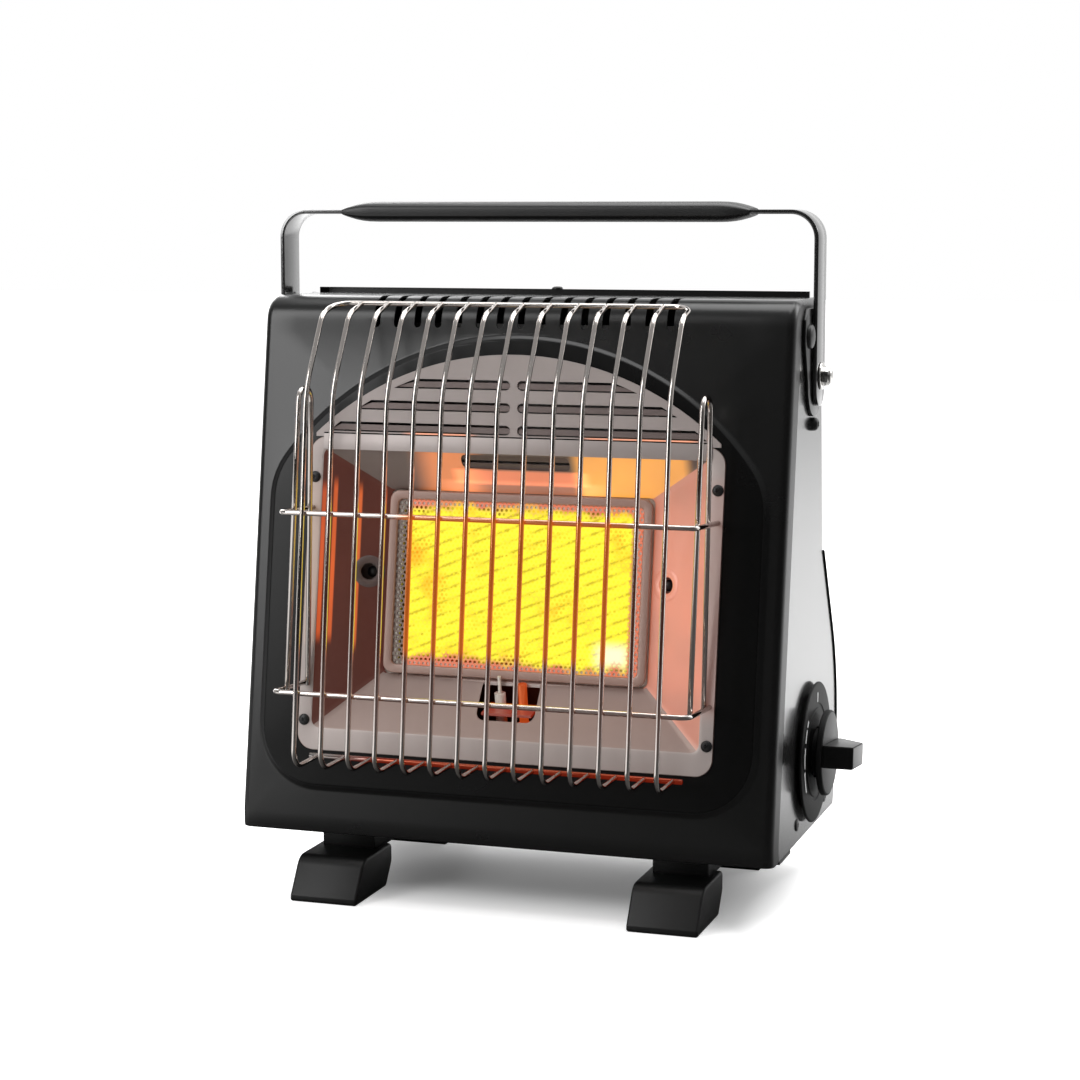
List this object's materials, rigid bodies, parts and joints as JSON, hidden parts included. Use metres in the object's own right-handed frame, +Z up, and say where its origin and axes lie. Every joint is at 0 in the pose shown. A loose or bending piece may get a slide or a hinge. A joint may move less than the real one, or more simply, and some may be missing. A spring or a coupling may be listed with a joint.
{
  "type": "portable_butane_heater",
  "caption": "Portable butane radiant heater: black sheet-steel casing, glowing ceramic burner in a bright reflector behind a chrome wire guard, folding handle, side knob, rear cartridge bay",
  "frame": {"origin": "middle of the footprint on the floor, under the feet", "axes": "X to the side with the knob, Y from the glowing front to the back, Z up"},
  "size_m": [0.2885, 0.1823, 0.3217],
  "materials": {
    "casing_black": "satin black powder coat",
    "side_black": "smooth black paint, glossier than the front",
    "screw_black": "blackened steel screws",
    "zinc": "zinc-plated steel",
    "foot_black": "fine-textured black plastic",
    "grip_black": "fine-textured black plastic with a mould line",
    "knob_black": "black plastic with white dial marks",
    "chrome": "bright plated wire",
    "bright_steel": "bright stainless sheet",
    "burner_screen": "heat-tinted perforated screen, glowing",
    "ceramic": "ceramic, the plaque glowing",
    "fibre": "ceramic-fibre packing",
    "brass": "turned brass",
    "alloy": "die-cast and drawn light alloy",
    "magnet": "sintered magnet",
    "piezo_white": "off-white plastic",
    "lead_sleeve": "red silicone sleeve",
    "copper": "copper flame sensor"
  },
  "bodies": {
    "casing": {"front_panel": "casing_black", "rear_panel": "casing_black", "base_plate": "casing_black", "left_handle_bracket": "casing_black", "right_handle_bracket": "casing_black", "left_side_panel": "side_black", "right_side_panel": "side_black", "reflector_screws": "screw_black", "bracket_screws": "screw_black", "dial_screws": "screw_black", "burner_screws": "screw_black", "casing_screws": "zinc", "foot_screws": "zinc", "door_hinge_pin": "zinc", "door_catch": "zinc", "cartridge_cradle": "zinc", "burner_box": "zinc", "mixing_tube": "zinc", "injector_bracket": "zinc", "pilot_bracket": "zinc", "handle_stop_studs": "zinc", "left_foot": "foot_black", "right_foot": "foot_black", "dial_plate": "knob_black", "guard_uprights": "chrome", "guard_outer_wire": "chrome", "guard_bottom_rail": "chrome", "guard_cross_rails": "chrome", "guard_side_loops": "chrome", "handle_pivot_bolts": "chrome", "handle_washers": "chrome", "handle_pivot_nuts": "chrome", "reflector_pan": "bright_steel", "louvre_plate": "bright_steel", "burner_frame": "bright_steel", "heat_shield": "bright_steel", "burner_mesh": "burner_screen", "ceramic_plaque": "ceramic", "electrode": "ceramic", "plaque_gasket": "fibre", "injector": "brass", "regulator_valve": "alloy", "gas_tube": "alloy", "magnet_ring": "magnet", "piezo_igniter": "piezo_white", "ignition_lead": "lead_sleeve", "thermocouple": "copper"},
    "handle": {"handle_strap": "casing_black", "handle_grip": "grip_black"},
    "door": {"cartridge_door": "casing_black"},
    "valve_push": {"push_collar": "brass"},
    "knob": {"control_knob": "knob_black", "knob_shaft": "zinc"}
  },
  "joints": [
    {"name": "handle_fold", "type": "hinge", "parent": "casing", "child": "handle", "pos_m": [-0.00725, 0.01687, 0.243], "axis": [-1, 0, 0], "range_deg": [0, 145]},
    {"name": "door_swing", "type": "hinge", "parent": "casing", "child": "door", "pos_m": [-0.00725, 0.07457, 0.039], "axis": [-1, 0, 0], "range_deg": [0, 95]},
    {"name": "knob_push", "type": "slide", "parent": "casing", "child": "valve_push", "axis": [-1, 0, 0], "range_m": [0, 0.003], "stiffness_N_per_m": 800},
    {"name": "knob_turn", "type": "hinge", "parent": "valve_push", "child": "knob", "pos_m": [0.12025, 0.02387, 0.0672], "axis": [1, 0, 0], "range_deg": [-90, 45]}
  ]
}
